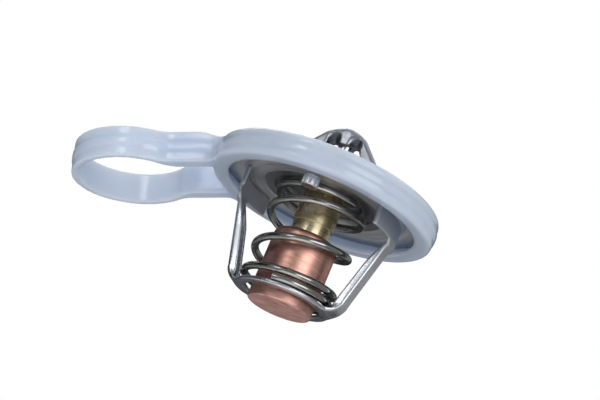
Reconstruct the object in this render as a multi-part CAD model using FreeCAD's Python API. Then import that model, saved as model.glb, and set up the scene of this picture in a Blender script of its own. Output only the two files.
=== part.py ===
import FreeCAD, Part
import math
import os

# Insert thermostat of an engine's cooling circuit, in millimetres.
# The origin is on the axis, in the plane of the flange's outer underside, and +Z points to the bridge.
# Bridge and legs lie in the XZ plane, the gasket's second loop points to -X, the vent pin is near -Y.

Vector = FreeCAD.Vector
UP = Vector(0, 0, 1)
ORIGIN = Vector(0, 0, 0)

# Cup, hub and spring, counted outwards from the axis
cup_radius = 8.45
hub_cup_gap = 1.4
spring_ledge = 0.75
wire_radius = 1.0
hub_rim = 0.8

# Flange, one stainless pressing with a lower middle zone and a conical valve seat
flange_sheet = 1.2
middle_drop = 1.1
step_run = 0.55
seat_taper = 0.8
rim_width = 6.85
flange_edge_round = 0.3

# Gasket ring, one silicone moulding with a groove for the flange
ring_wall = 1.8
ring_bottom = -3.5
ring_top = 3.65
lower_lip_grip = 2.8
lower_lip_edge = 0.9
upper_lip_grip = 2.4
lip_land = 0.75
ring_edge_round = 1.3
lip_edge_round = 0.4
bead_height = 0.3
bead_half_width = 1.1
groove_clearance = 0.02

# Gasket arm and second loop
hinge_run = 1.0
hinge_z = 0.0
arm_bend = 17.8
arm_root_length = 8.0
arm_bury = 1.0
loop_reach = 22.4
loop_radius = 16.2
loop_wall = 1.9
loop_height = 8.4
neck_half_width = 12.0
neck_wall = 4.0
neck_round_outside = 8.0
neck_round_inside = 8.0
root_round = 4.0
hinge_round = 9.0

# Lower frame, one stainless yoke
frame_sheet = 1.0
tab_clearance = 0.05
tab_half_angle = 30.5
tab_bottom = -6.3
tab_root_round = 1.6
tab_corner_round = 0.15
leg_half_width = 2.5
leg_foot_margin = 2.5
leg_bend_round = 5.2
leg_edge_round = 0.7
leg_overlap = 0.5
leg_knee_drop = 7.1
leg_knee_depth = 2.3
leg_knee_round = 12.0
leg_foot_rise = 4.3
leg_foot_depth = 2.5
leg_foot_round = 6.0
leg_side_end_gap = 0.3
leg_hub_lap = 0.6
hub_top = -28.3
hub_root_round = 5.5
lug_angle = 22.0
lug_half_angle = 5.0
lug_grip = 1.8
lug_round = 0.9
slot_clearance = 0.1

# Bridge, one stainless yoke of channel section
bridge_sheet = 1.1
bridge_apex = 19.2
bridge_round = 8.0
bridge_landing = 0.45
bridge_half_width = 3.2
bridge_edge_round = 1.0
skirt_depth = 3.1
skirt_corner_round = 0.6
socket_block_height = 4.8
socket_block_half_length = 4.6
socket_depth = 3.0
dent_radius = 1.35
dent_offset = 3.0
dent_core = 0.95
dent_lean = 2.25
dent_height = 2.5
notch_height = 0.7
notch_half_length = 0.9
foot_seat_gap = 0.8
foot_width = 2.8
foot_half_angle = 29.0
foot_gap = 0.5
foot_edge_round = 0.25

# Valve disc, one dished stainless pressing
disc_sheet = 0.9
disc_rim_inset = 0.15
seat_gap = 0.05
disc_rim_width = 2.8
disc_spring_gap = 0.8
spring_seat_rise = 0.65
spring_seat_margin = 0.3
hat_rise = 2.5
disc_wall_run = 0.6
disc_rim_run = 0.4
disc_bend_small = 0.3
disc_bend_middle = 0.5
disc_bend_large = 0.95

# Actuator: guide, retaining ring, cup, wax, rubbers, piston
guide_radius = 5.45
guide_collar_length = 3.5
guide_lower_radius = 5.05
guide_edge_round = 0.1
neck_radius = 4.6
neck_above_ring = 1.5
neck_edge = 0.4
running_clearance = 0.05
slip_clearance = 0.05
ring_groove_depth = 0.5
retaining_ring_thickness = 1.0
retaining_ring_width = 2.2
retaining_ring_gap = 3.0
retaining_ring_round = 0.2
guide_base_thickness = 1.3
guide_base_round = 0.2
guide_throat_radius = 4.6
guide_throat_height = 2.7
piston_radius = 1.9
piston_tip = 0.35
plug_nose = 1.2
plug_nose_round = 0.2
backup_disc_thickness = 0.8
seal_pocket_depth = 2.1
seal_wall = 1.05
seal_lip = 0.3
seal_round = 0.1
cup_below_hub = 2.25
cup_length = 19.65
cup_wall = 0.95
cup_floor = 1.0
cup_crimp = 1.0
cup_ledge = 0.65
cup_shoulder_round = 1.6
cup_corner_round = 0.5
cup_mouth_round = 0.3
wax_round = 0.6
diaphragm_thickness = 1.3
diaphragm_round = 0.3

# Spring, closed turns at both ends, wound right-handed
spring_seat_gap = 0.03
spring_tip_angle = -93.0
bottom_closed_turns = 1.22
top_closed_turns = 0.95
closed_pitch = 2.2
active_turns = 2.0
blend_turns = 0.2
points_per_turn = 16

# Vent pin, hanging loose in its hole
pin_angle = -83.4
pin_lip_gap = 0.88
pin_neck_radius = 1.0
pin_hole_clearance = 0.3
pin_head_radius = 2.12
pin_head_top = -3.4
pin_head_height = 2.7
pin_head_edge = 0.3
pin_cap_radius = 2.0
pin_cap_height = 1.1
pin_cap_round = 0.8

# How far a cutting tool reaches beyond what it cuts, and the difference below which two places are one
tool_reach = 1.0
same_place = 0.001

# Radii, counted outwards from the cup
hub_hole_radius = cup_radius + hub_cup_gap
spring_radius = hub_hole_radius + spring_ledge + wire_radius
spring_outside = spring_radius + wire_radius
hub_radius = spring_radius + hub_rim
disc_rim_inner = spring_outside + disc_spring_gap
seat_radius = disc_rim_inner + disc_rim_width
foot_inner_radius = seat_radius + foot_seat_gap
foot_outer_radius = foot_inner_radius + foot_width
tab_radius = foot_outer_radius + foot_gap + frame_sheet
middle_radius = tab_radius + tab_clearance
flange_radius = middle_radius + rim_width
ring_radius = flange_radius + ring_wall
lower_lip_radius = flange_radius - lower_lip_grip
upper_lip_radius = flange_radius - upper_lip_grip
pin_distance = lower_lip_radius - pin_lip_gap - pin_head_radius
spring_seat_inner = spring_radius - wire_radius - spring_seat_margin
guide_base_radius = cup_radius - cup_wall - slip_clearance
bore_radius = piston_radius + running_clearance

# Heights
flange_top = flange_sheet
middle_bottom = -middle_drop
middle_top = middle_bottom + flange_sheet
foot_top = middle_top + bridge_sheet
disc_bottom = middle_bottom + disc_rim_inset
spring_seat_z = disc_bottom + spring_seat_rise
hat_bottom = spring_seat_z + hat_rise
hat_top = hat_bottom + disc_sheet
ring_groove_top = hat_top + retaining_ring_thickness
neck_top = ring_groove_top + neck_above_ring
hub_bottom = hub_top - frame_sheet
cup_bottom = hub_bottom - cup_below_hub
cup_top = cup_bottom + cup_length
guide_step_z = cup_top + guide_collar_length
guide_base_top = cup_top - cup_crimp
guide_base_bottom = guide_base_top - guide_base_thickness
throat_top = guide_base_bottom + guide_throat_height
plug_top = throat_top + plug_nose
piston_bottom = plug_top + backup_disc_thickness
socket_block_bottom = bridge_apex - socket_block_height
socket_top = socket_block_bottom + socket_depth

# Slopes and places that join the pieces
hinge_x = -(ring_radius + hinge_run)
leg_foot_x = spring_outside + leg_foot_margin
leg_lean = math.atan((tab_radius - leg_foot_x) / (tab_bottom - hub_bottom))
landing_x = foot_outer_radius - bridge_landing
landing_drop = bridge_apex - bridge_round - foot_top
landing_line = math.hypot(landing_x, landing_drop)
bridge_flank = math.atan2(landing_drop, landing_x) + math.asin(bridge_round / landing_line)


def rounded_wire(corners, place):
    """Closed wire through corners (a, b, rounding); place turns a pair (a, b) into a point."""
    count = len(corners)
    starts = []
    middles = []
    ends = []
    for index, (a, b, rounding) in enumerate(corners):
        corner = Vector(a, b, 0)
        before = Vector(*corners[index - 1][:2], 0) - corner
        after = Vector(*corners[(index + 1) % count][:2], 0) - corner
        before.normalize()
        after.normalize()
        half = before.getAngle(after) / 2
        reach = rounding / math.tan(half) if rounding else 0
        inward = before + after
        if rounding:
            inward.normalize()
        starts.append(corner + before * reach)
        ends.append(corner + after * reach)
        middles.append(corner + inward * (rounding / math.sin(half) - rounding if rounding else 0))
    edges = []
    for index in range(count):
        start = place(starts[index].x, starts[index].y)
        middle = place(middles[index].x, middles[index].y)
        end = place(ends[index].x, ends[index].y)
        following = starts[(index + 1) % count]
        following = place(following.x, following.y)
        if corners[index][2]:
            edges.append(Part.Arc(start, middle, end).toShape())
        if end.distanceToPoint(following) > same_place:
            edges.append(Part.makeLine(end, following))
    return Part.Wire(edges)


def turned(corners):
    """Full turn about the axis of a section given as (radius, height, rounding)."""
    wire = rounded_wire(corners, lambda r, z: Vector(r, 0, z))
    return Part.Face(wire).revolve(ORIGIN, UP, 360)


def turned_part(corners, middle_angle, half_angle):
    """The same section turned only over an angle on each side of middle_angle."""
    wire = rounded_wire(corners, lambda r, z: Vector(r, 0, z))
    solid = Part.Face(wire).revolve(ORIGIN, UP, 2 * half_angle)
    solid.rotate(ORIGIN, UP, middle_angle - half_angle)
    return solid


def across(corners, half_width):
    """Outline in the XZ plane made as thick as twice half_width along Y."""
    wire = rounded_wire(corners, lambda x, z: Vector(x, -half_width, z))
    return Part.Face(wire).extrude(Vector(0, 2 * half_width, 0))


def mirrored(solid):
    """The same solid on the other side of the YZ plane."""
    return solid.mirror(ORIGIN, Vector(1, 0, 0))


def joined(solids):
    """One solid from several that overlap."""
    whole = solids[0].fuse(solids[1:])
    return whole.removeSplitter()


def rod(radius, bottom, top, x=0.0, y=0.0):
    """Upright cylinder."""
    return Part.makeCylinder(radius, top - bottom, Vector(x, y, bottom), UP)


def rounded_edges(solid, size, chosen):
    """Rounds the edges for which chosen(edge) is true."""
    edges = [edge for edge in solid.Edges if chosen(edge)]
    return solid.makeFillet(size, edges)


# Flange
def make_flange():
    seat_top_radius = seat_radius - seat_taper
    body = turned([
        (seat_radius, middle_bottom, 0),
        (middle_radius, middle_bottom, flange_sheet),
        (middle_radius + step_run, 0, 0),
        (flange_radius, 0, 0),
        (flange_radius, flange_top, flange_edge_round),
        (middle_radius + step_run, flange_top, flange_sheet / 2),
        (middle_radius, middle_top, 0),
        (seat_top_radius, middle_top, 0),
    ])
    slot = [
        (tab_radius - frame_sheet - slot_clearance, middle_bottom - tool_reach, 0),
        (tab_radius + slot_clearance, middle_bottom - tool_reach, 0),
        (tab_radius + slot_clearance, flange_top + tool_reach, 0),
        (tab_radius - frame_sheet - slot_clearance, flange_top + tool_reach, 0),
    ]
    slot_half_angle = lug_half_angle + math.degrees(slot_clearance / tab_radius)
    for angle in lug_places():
        body = body.cut(turned_part(slot, angle, slot_half_angle))
    hole = rod(pin_neck_radius + pin_hole_clearance, middle_bottom - tool_reach, flange_top + tool_reach)
    hole.translate(pin_place())
    return body.cut(hole)


def pin_place():
    """Where the vent pin's own axis stands."""
    angle = math.radians(pin_angle)
    return Vector(pin_distance * math.cos(angle), pin_distance * math.sin(angle), 0)


def lug_places():
    """Angles of the four lugs that pass through the flange."""
    return [side + sign * lug_angle for side in (0, 180) for sign in (-1, 1)]


# Gasket
def ring_section():
    groove_radius = flange_radius + groove_clearance
    lip_meets_flange = flange_radius - lip_land
    return [
        (lower_lip_radius, ring_bottom, lip_edge_round),
        (ring_radius, ring_bottom, ring_edge_round),
        (ring_radius, -bead_half_width, 0),
        (ring_radius + bead_height, -bead_half_width + bead_height, 0),
        (ring_radius + bead_height, bead_half_width - bead_height, 0),
        (ring_radius, bead_half_width, 0),
        (ring_radius, ring_top, ring_edge_round),
        (upper_lip_radius, ring_top, lip_edge_round),
        (upper_lip_radius, flange_top + groove_clearance, 0),
        (groove_radius, flange_top + groove_clearance, 0),
        (groove_radius, -groove_clearance, 0),
        (lip_meets_flange, -groove_clearance, 0),
        (lower_lip_radius, ring_bottom + lower_lip_edge, 0),
    ]


def arm_place(u, v):
    """Point of the arm's own middle plane: u along the arm from the hinge, v across it."""
    bend = math.radians(arm_bend)
    return Vector(hinge_x - u * math.cos(bend), v, hinge_z - u * math.sin(bend))


def keyhole(radius, half_width, blend):
    """Outline of the loop and its neck in the arm's plane, from inside the ring to the loop's tip."""
    rise = half_width + blend
    along = math.sqrt((radius + blend) ** 2 - rise ** 2)
    start_u = -arm_root_length
    line_end = (loop_reach - along, half_width)
    share = radius / (radius + blend)
    circle_start = (loop_reach - along * share, rise * share)
    swing = math.atan2(along, rise) / 2
    arc_middle = (loop_reach - along + blend * math.sin(swing), rise - blend * math.cos(swing))
    edges = [
        Part.makeLine(arm_place(start_u, -half_width), arm_place(start_u, half_width)),
        Part.makeLine(arm_place(start_u, half_width), arm_place(*line_end)),
        Part.Arc(arm_place(*line_end), arm_place(*arc_middle), arm_place(*circle_start)).toShape(),
        Part.Arc(arm_place(*circle_start), arm_place(loop_reach + radius, 0),
                 arm_place(circle_start[0], -circle_start[1])).toShape(),
        Part.Arc(arm_place(circle_start[0], -circle_start[1]), arm_place(arc_middle[0], -arc_middle[1]),
                 arm_place(line_end[0], -line_end[1])).toShape(),
        Part.makeLine(arm_place(line_end[0], -line_end[1]), arm_place(start_u, -half_width)),
    ]
    return Part.Wire(edges)


def arm_prism(radius, half_width, blend):
    """The keyhole outline drawn far out on both sides of the arm's plane."""
    bend = math.radians(arm_bend)
    normal = Vector(-math.sin(bend), 0, math.cos(bend))
    tall = 4 * loop_height
    prism = Part.Face(keyhole(radius, half_width, blend)).extrude(normal * tall)
    prism.translate(normal * (-tall / 2))
    return prism


def arm_side(bottom, top, half_height):
    """Side outline of ring and arm: level up to the hinge, then bent down."""
    bend = math.radians(arm_bend)
    reach = loop_reach + 2 * loop_radius

    def bent(u, w):
        point = arm_place(u, 0)
        return (point.x - w * math.sin(bend), point.z + w * math.cos(bend))

    def knee(level, w):
        start = bent(0, w)
        u = (start[1] - level) / math.sin(bend)
        return bent(u, w)[0]

    far_top = bent(reach, half_height)
    far_bottom = bent(reach, -half_height)
    return across([
        (0, bottom, 0),
        (0, top, 0),
        (knee(top, half_height), top, hinge_round),
        (far_top[0], far_top[1], 0),
        (far_bottom[0], far_bottom[1], 0),
        (knee(bottom, -half_height), bottom, hinge_round),
    ], 2 * loop_radius)


def root_fillet():
    """Plan piece that blends one side of the neck into the ring's outer wall."""
    y = neck_half_width + root_round
    x = -math.sqrt((ring_radius + root_round) ** 2 - y ** 2)
    share = ring_radius / (ring_radius + root_round)
    touch = Vector(x * share, y * share, ring_bottom)
    corner = Vector(x * share, neck_half_width - neck_wall / 2, ring_bottom)
    inner = Vector(x, neck_half_width - neck_wall / 2, ring_bottom)
    wire = Part.makePolygon([Vector(x, neck_half_width, ring_bottom), touch, corner, inner,
                             Vector(x, neck_half_width, ring_bottom)])
    piece = Part.Face(wire).extrude(Vector(0, 0, ring_top - ring_bottom))
    return piece.cut(rod(root_round, ring_bottom - tool_reach, ring_top + tool_reach, x, y))


def make_gasket():
    ring = turned(ring_section())
    outer = arm_prism(loop_radius, neck_half_width, neck_round_outside)
    inner = arm_prism(loop_radius - loop_wall, neck_half_width - neck_wall, neck_round_inside)
    side = arm_side(ring_bottom, ring_top, loop_height / 2)
    arm = outer.cut(inner).common(side)
    bead_outline = arm_prism(loop_radius + bead_height, neck_half_width + bead_height, neck_round_outside)
    bead_side = arm_side(-bead_half_width, bead_half_width, bead_half_width)
    bead = bead_outline.cut(inner).common(bead_side)
    fillet = root_fillet()
    arm = joined([arm, bead, fillet, fillet.mirror(ORIGIN, Vector(0, 1, 0))])
    core = rod(ring_radius - arm_bury, ring_bottom - loop_height, ring_top + loop_height)
    return joined([ring, arm.cut(core)])


# Lower frame
def leg_x(z, inset):
    """Distance of the leg's web from the axis at a height, measured inset behind its outer face."""
    return tab_radius - (tab_bottom - z) * math.tan(leg_lean) - inset / math.cos(leg_lean)


def make_leg():
    start_z = tab_bottom + leg_overlap
    knee_z = tab_bottom - leg_knee_drop
    foot_z = hub_top + leg_foot_rise
    side_end = spring_outside + leg_side_end_gap
    lap = hub_hole_radius + leg_hub_lap
    outer = across([
        (leg_x(tab_bottom, frame_sheet), start_z, 0),
        (leg_x(start_z, 0), start_z, 0),
        (leg_x(hub_bottom, 0), hub_bottom, leg_bend_round),
        (lap, hub_bottom, 0),
        (lap, hub_top, 0),
        (side_end, hub_top, 0),
        (leg_x(foot_z, leg_foot_depth), foot_z, leg_foot_round),
        (leg_x(knee_z, leg_knee_depth), knee_z, leg_knee_round),
        (leg_x(tab_bottom, frame_sheet), tab_bottom, 0),
    ], leg_half_width)

    def on_web(edge):
        middle = edge.valueAt((edge.FirstParameter + edge.LastParameter) / 2)
        if abs(abs(middle.y) - leg_half_width) > same_place:
            return False
        round_edge = edge.Curve.TypeId == "Part::GeomCircle"
        at_bend = round_edge and abs(edge.Curve.Radius - leg_bend_round) < same_place
        return at_bend or abs(middle.x - leg_x(middle.z, 0)) < same_place

    outer = rounded_edges(outer, leg_edge_round, on_web)
    hollow = across([
        (leg_x(tab_bottom, frame_sheet), tab_bottom, 0),
        (leg_x(hub_top, frame_sheet), hub_top, leg_bend_round - frame_sheet),
        (0, hub_top, 0),
        (0, tab_bottom, 0),
    ], leg_half_width - frame_sheet)
    return outer.cut(hollow)


def make_flares():
    """Bent sheet that widens the foot of one leg into the hub ring, on both sides of the leg."""
    top_z = hub_top + leg_bend_round
    sheet = across([
        (hub_hole_radius, hub_bottom, 0),
        (leg_x(hub_bottom, 0), hub_bottom, leg_bend_round),
        (leg_x(top_z, 0), top_z, 0),
        (leg_x(top_z, frame_sheet), top_z, 0),
        (leg_x(hub_top, frame_sheet), hub_top, leg_bend_round - frame_sheet),
        (hub_hole_radius, hub_top, 0),
    ], leg_half_width + 2 * hub_root_round)
    centre_y = leg_half_width + hub_root_round
    centre_x = math.sqrt((hub_radius + hub_root_round) ** 2 - centre_y ** 2)
    share = hub_radius / (hub_radius + hub_root_round)
    touch = Vector(centre_x * share, centre_y * share, hub_bottom)
    wire = Part.makePolygon([
        Vector(hub_hole_radius, 0, hub_bottom),
        Vector(centre_x, 0, hub_bottom),
        Vector(centre_x, leg_half_width, hub_bottom),
        touch,
        Vector(hub_hole_radius, touch.y, hub_bottom),
        Vector(hub_hole_radius, 0, hub_bottom),
    ])
    plan = Part.Face(wire).extrude(Vector(0, 0, top_z - hub_bottom))
    round_tool = rod(hub_root_round, hub_bottom - tool_reach, top_z + tool_reach, centre_x, centre_y)
    flare = sheet.common(plan.cut(round_tool))
    return [flare, flare.mirror(ORIGIN, Vector(0, 1, 0))]


def make_tab():
    half_tab = tab_radius * math.sin(math.radians(tab_half_angle))
    stem_end = tab_bottom - tab_root_round
    stem_foot = stem_end - tab_clearance
    wire = rounded_wire([
        (-half_tab, middle_bottom, 0),
        (-half_tab, tab_bottom, tab_corner_round),
        (-leg_half_width, tab_bottom, tab_root_round),
        (-leg_half_width, stem_foot, 0),
        (leg_half_width, stem_foot, 0),
        (leg_half_width, tab_bottom, tab_root_round),
        (half_tab, tab_bottom, tab_corner_round),
        (half_tab, middle_bottom, 0),
    ], lambda y, z: Vector(tab_radius / 2, y, z))
    plate = Part.Face(wire).extrude(Vector(tab_radius, 0, 0))
    shell = turned([
        (tab_radius - frame_sheet, stem_end - tool_reach, 0),
        (tab_radius, stem_end - tool_reach, 0),
        (tab_radius, middle_bottom, 0),
        (tab_radius - frame_sheet, middle_bottom, 0),
    ])
    return plate.common(shell)


def make_lug(angle):
    grip_radius = foot_outer_radius - lug_grip
    inner = tab_radius - frame_sheet
    return turned_part([
        (inner, middle_bottom - frame_sheet, 0),
        (tab_radius, middle_bottom - frame_sheet, 0),
        (tab_radius, foot_top + frame_sheet, lug_round),
        (grip_radius, foot_top + frame_sheet, 0),
        (grip_radius, foot_top, 0),
        (inner, foot_top, 0),
    ], angle, lug_half_angle)


def make_lower_frame():
    side = [make_leg(), make_tab()] + make_flares()
    pieces = [rod(hub_radius, hub_bottom, hub_top)]
    pieces += side
    pieces += [mirrored(solid) for solid in side]
    pieces += [make_lug(angle) for angle in lug_places()]
    cup_passage = rod(hub_hole_radius, hub_bottom - tool_reach, hub_top + tool_reach)
    return joined(pieces).cut(cup_passage)


# Bridge
def arch(inset, rounding, bottom, foot):
    """Outline of the arch moved inwards by inset; its flanks meet in one rounded corner."""
    crown = bridge_apex - bridge_round + (bridge_round - inset) / math.cos(bridge_flank)
    x_bottom = (crown - bottom) / math.tan(bridge_flank)
    x_foot = min(x_bottom, foot)
    z_foot = crown - x_foot * math.tan(bridge_flank)
    if z_foot > bottom + same_place:
        return [(-x_foot, bottom, 0), (-x_foot, z_foot, 0), (0, crown, rounding),
                (x_foot, z_foot, 0), (x_foot, bottom, 0)]
    return [(-x_bottom, bottom, 0), (0, crown, rounding), (x_bottom, bottom, 0)]


def flank_x(z, inset):
    """Distance of the arch's flank from the axis at a height."""
    crown = bridge_apex - bridge_round + (bridge_round - inset) / math.cos(bridge_flank)
    return (crown - z) / math.tan(bridge_flank)


def make_bridge():
    foot_x = flank_x(foot_top, 0)
    body = across(arch(0, bridge_round, middle_top, foot_x), bridge_half_width)

    def on_crown(edge):
        middle = edge.valueAt((edge.FirstParameter + edge.LastParameter) / 2)
        on_side = abs(abs(middle.y) - bridge_half_width) < same_place
        return on_side and middle.z > foot_top + bridge_edge_round / 2

    body = rounded_edges(body, bridge_edge_round, on_crown)
    low = middle_top - tool_reach
    passage = across([
        (-flank_x(low, skirt_depth), low, 0),
        (-flank_x(socket_block_bottom, skirt_depth), socket_block_bottom, skirt_corner_round),
        (flank_x(socket_block_bottom, skirt_depth), socket_block_bottom, skirt_corner_round),
        (flank_x(low, skirt_depth), low, 0),
    ], 2 * bridge_half_width)
    channel = across(arch(bridge_sheet, bridge_round - bridge_sheet, low, 2 * foot_x),
                     bridge_half_width - bridge_sheet)
    block = Part.makeBox(2 * socket_block_half_length, 2 * bridge_half_width, bridge_apex,
                         Vector(-socket_block_half_length, -bridge_half_width, socket_block_bottom))
    body = body.cut(passage).cut(channel.cut(block))
    for x_sign in (-1, 1):
        notch = Part.makeBox(2 * notch_half_length, 4 * bridge_half_width, 2 * notch_height,
                             Vector(x_sign * dent_offset - notch_half_length, -2 * bridge_half_width,
                                    socket_block_bottom - notch_height))
        body = body.cut(notch)
        for y_sign in (-1, 1):
            foot = Vector(x_sign * dent_offset, y_sign * (dent_core + dent_radius), socket_block_bottom)
            lean = Vector(0, y_sign * dent_lean, dent_height)
            dent = Part.makeCylinder(dent_radius, 3 * lean.Length, foot - lean, lean)
            body = body.cut(dent)
    socket = rod(piston_radius + slip_clearance, socket_block_bottom - tool_reach, socket_top)
    body = body.cut(socket)
    foot_section = [
        (foot_inner_radius, middle_top, 0),
        (foot_outer_radius, middle_top, 0),
        (foot_outer_radius, foot_top, foot_edge_round),
        (foot_inner_radius, foot_top, foot_edge_round),
    ]
    feet = [turned_part(foot_section, angle, foot_half_angle) for angle in (0, 180)]
    return joined([body] + feet)


# Valve disc
def make_valve_disc():
    def seat_at(z):
        slope = seat_taper / flange_sheet
        gap = seat_gap * math.sqrt(1 + slope * slope)
        return seat_radius - (z - middle_bottom) * slope - gap

    rim_top = disc_bottom + disc_sheet
    seat_outer = disc_rim_inner - disc_wall_run
    hat_outer = spring_seat_inner - disc_wall_run
    hole = neck_radius + slip_clearance
    return turned([
        (seat_at(disc_bottom), disc_bottom, 0),
        (seat_at(rim_top), rim_top, 0),
        (disc_rim_inner + disc_rim_run, rim_top, disc_bend_small),
        (seat_outer + disc_rim_run, spring_seat_z + disc_sheet, disc_bend_middle),
        (spring_seat_inner + disc_sheet, spring_seat_z + disc_sheet, disc_bend_small),
        (hat_outer + disc_sheet, hat_top, disc_bend_large),
        (hole, hat_top, 0),
        (hole, hat_bottom, 0),
        (hat_outer, hat_bottom, disc_bend_small),
        (spring_seat_inner, spring_seat_z, disc_bend_large),
        (seat_outer, spring_seat_z, disc_rim_inset),
        (disc_rim_inner, disc_bottom, disc_bend_small),
    ])


# Actuator pieces
def make_guide():
    groove_radius = neck_radius - ring_groove_depth
    pocket_radius = bore_radius + seal_wall
    body = turned([
        (0, guide_base_bottom, 0),
        (guide_base_radius, guide_base_bottom, guide_base_round),
        (guide_base_radius, guide_base_top, guide_base_round),
        (guide_lower_radius, guide_base_top, 0),
        (guide_lower_radius, guide_step_z, 0),
        (guide_radius, guide_step_z, guide_edge_round),
        (guide_radius, hat_bottom, guide_edge_round),
        (neck_radius, hat_bottom, 0),
        (neck_radius, hat_top, 0),
        (groove_radius, hat_top, 0),
        (groove_radius, ring_groove_top, 0),
        (neck_radius, ring_groove_top, 0),
        (neck_radius, neck_top, neck_edge),
        (0, neck_top, 0),
    ])
    hollow = turned([
        (0, guide_base_bottom - tool_reach, 0),
        (guide_throat_radius, guide_base_bottom - tool_reach, 0),
        (guide_throat_radius, guide_base_bottom, 0),
        (bore_radius, throat_top, 0),
        (bore_radius, neck_top - seal_pocket_depth, 0),
        (pocket_radius, neck_top - seal_pocket_depth, 0),
        (pocket_radius, neck_top + tool_reach, 0),
        (0, neck_top + tool_reach, 0),
    ])
    return body.cut(hollow)


def make_retaining_ring():
    inner = neck_radius - ring_groove_depth + slip_clearance
    ring = turned([
        (inner, hat_top, 0),
        (inner + retaining_ring_width, hat_top, retaining_ring_round),
        (inner + retaining_ring_width, ring_groove_top, retaining_ring_round),
        (inner, ring_groove_top, 0),
    ])
    gap = Part.makeBox(retaining_ring_gap, 2 * guide_radius, 4 * retaining_ring_thickness,
                       Vector(-retaining_ring_gap / 2, 0, hat_top - retaining_ring_thickness))
    return ring.cut(gap)


def make_piston_seal():
    bottom = neck_top - seal_pocket_depth
    outer = bore_radius + seal_wall - slip_clearance / 2
    return turned([
        (bore_radius, bottom, 0),
        (outer, bottom, 0),
        (outer, neck_top, seal_round),
        (bore_radius + 2 * seal_lip, neck_top, seal_round),
        (bore_radius + seal_lip, neck_top - seal_lip, 0),
        (bore_radius, neck_top - seal_lip, 0),
    ])


def make_cup():
    mouth = guide_lower_radius + slip_clearance
    upper = guide_base_radius + slip_clearance
    ledge_z = guide_base_bottom - diaphragm_thickness
    chamber = upper - cup_ledge
    return turned([
        (0, cup_bottom, 0),
        (cup_radius, cup_bottom, cup_corner_round),
        (cup_radius, cup_top, cup_shoulder_round),
        (mouth, cup_top, cup_mouth_round),
        (mouth, guide_base_top, 0),
        (upper, guide_base_top, 0),
        (upper, ledge_z, 0),
        (chamber, ledge_z, 0),
        (chamber, cup_bottom + cup_floor, cup_corner_round),
        (0, cup_bottom + cup_floor, 0),
    ])


def make_wax():
    chamber = guide_base_radius + slip_clearance - cup_ledge
    return turned([
        (0, cup_bottom + cup_floor, 0),
        (chamber - slip_clearance, cup_bottom + cup_floor, wax_round),
        (chamber - slip_clearance, guide_base_bottom - diaphragm_thickness, 0),
        (0, guide_base_bottom - diaphragm_thickness, 0),
    ])


def make_diaphragm():
    return turned([
        (0, guide_base_bottom - diaphragm_thickness, 0),
        (guide_base_radius, guide_base_bottom - diaphragm_thickness, diaphragm_round),
        (guide_base_radius, guide_base_bottom, diaphragm_round),
        (0, guide_base_bottom, 0),
    ])


def make_plug():
    nose = bore_radius - slip_clearance
    return turned([
        (0, guide_base_bottom, 0),
        (guide_throat_radius - slip_clearance, guide_base_bottom, 0),
        (nose, throat_top, 0),
        (nose, plug_top, plug_nose_round),
        (0, plug_top, 0),
    ])


def make_backup_disc():
    return rod(piston_radius, plug_top, piston_bottom)


def make_piston():
    return turned([
        (0, piston_bottom, 0),
        (piston_radius, piston_bottom, piston_tip),
        (piston_radius, socket_top, piston_tip),
        (0, socket_top, 0),
    ])


# Spring
def spring_height(turn, total, low, high):
    """Height of the wire's middle after a number of turns: flat pitch, steep pitch, flat pitch."""
    rise = high - low
    steep_pitch = (rise - closed_pitch * (total - active_turns)) / active_turns
    start = bottom_closed_turns
    end = start + active_turns

    def steep_share(edge):
        """Turns spent beyond edge, with the change of pitch spread over blend_turns."""
        distance = turn - edge
        if distance <= -blend_turns:
            return 0.0
        if distance >= blend_turns:
            return distance
        return (distance + blend_turns) ** 2 / (4 * blend_turns)

    steep = steep_share(start) - steep_share(end)
    return low + closed_pitch * (turn - steep) + steep_pitch * steep


def make_spring():
    low = hub_top + spring_seat_gap + wire_radius
    high = spring_seat_z - spring_seat_gap - wire_radius
    total = bottom_closed_turns + active_turns + top_closed_turns
    steps = int(round(total * points_per_turn))
    points = []
    for step in range(steps + 1):
        turn = total * step / steps
        angle = math.radians(spring_tip_angle + 360 * turn)
        height = spring_height(turn, total, low, high)
        points.append(Vector(spring_radius * math.cos(angle), spring_radius * math.sin(angle), height))
    line = Part.BSplineCurve()
    line.interpolate(points)
    path = Part.Wire([line.toShape()])
    start_direction = line.tangent(line.FirstParameter)[0]
    circle = Part.Wire([Part.makeCircle(wire_radius, points[0], start_direction)])
    return path.makePipeShell([circle], True, True)


# Vent pin
def make_jiggle_pin():
    bottom = pin_head_top - pin_head_height
    cap_top = flange_top + pin_cap_height
    pin = turned([
        (0, bottom, 0),
        (pin_head_radius, bottom, pin_head_edge),
        (pin_head_radius, pin_head_top, pin_head_edge),
        (pin_neck_radius, pin_head_top, 0),
        (pin_neck_radius, flange_top, 0),
        (pin_cap_radius, flange_top, 0),
        (pin_cap_radius, cap_top, pin_cap_round),
        (0, cap_top, 0),
    ])
    pin.translate(pin_place())
    return pin


def main():
    os.makedirs("parts", exist_ok=True)
    makers = {
        "gasket": make_gasket,
        "flange": make_flange,
        "bridge": make_bridge,
        "lower_frame": make_lower_frame,
        "spring": make_spring,
        "valve_disc": make_valve_disc,
        "retaining_ring": make_retaining_ring,
        "guide": make_guide,
        "piston_seal": make_piston_seal,
        "cup": make_cup,
        "wax": make_wax,
        "diaphragm": make_diaphragm,
        "plug": make_plug,
        "backup_disc": make_backup_disc,
        "piston": make_piston,
        "jiggle_pin": make_jiggle_pin,
    }
    for name, make in makers.items():
        shape = make()
        box = shape.BoundBox
        print(name, "solids", len(shape.Solids), "valid", shape.isValid(), "volume", round(shape.Volume, 1),
              "z", round(box.ZMin, 2), round(box.ZMax, 2), "x", round(box.XMin, 2), round(box.XMax, 2))
        shape.exportStep("parts/" + name + ".step")


main()
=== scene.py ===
import math

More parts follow.
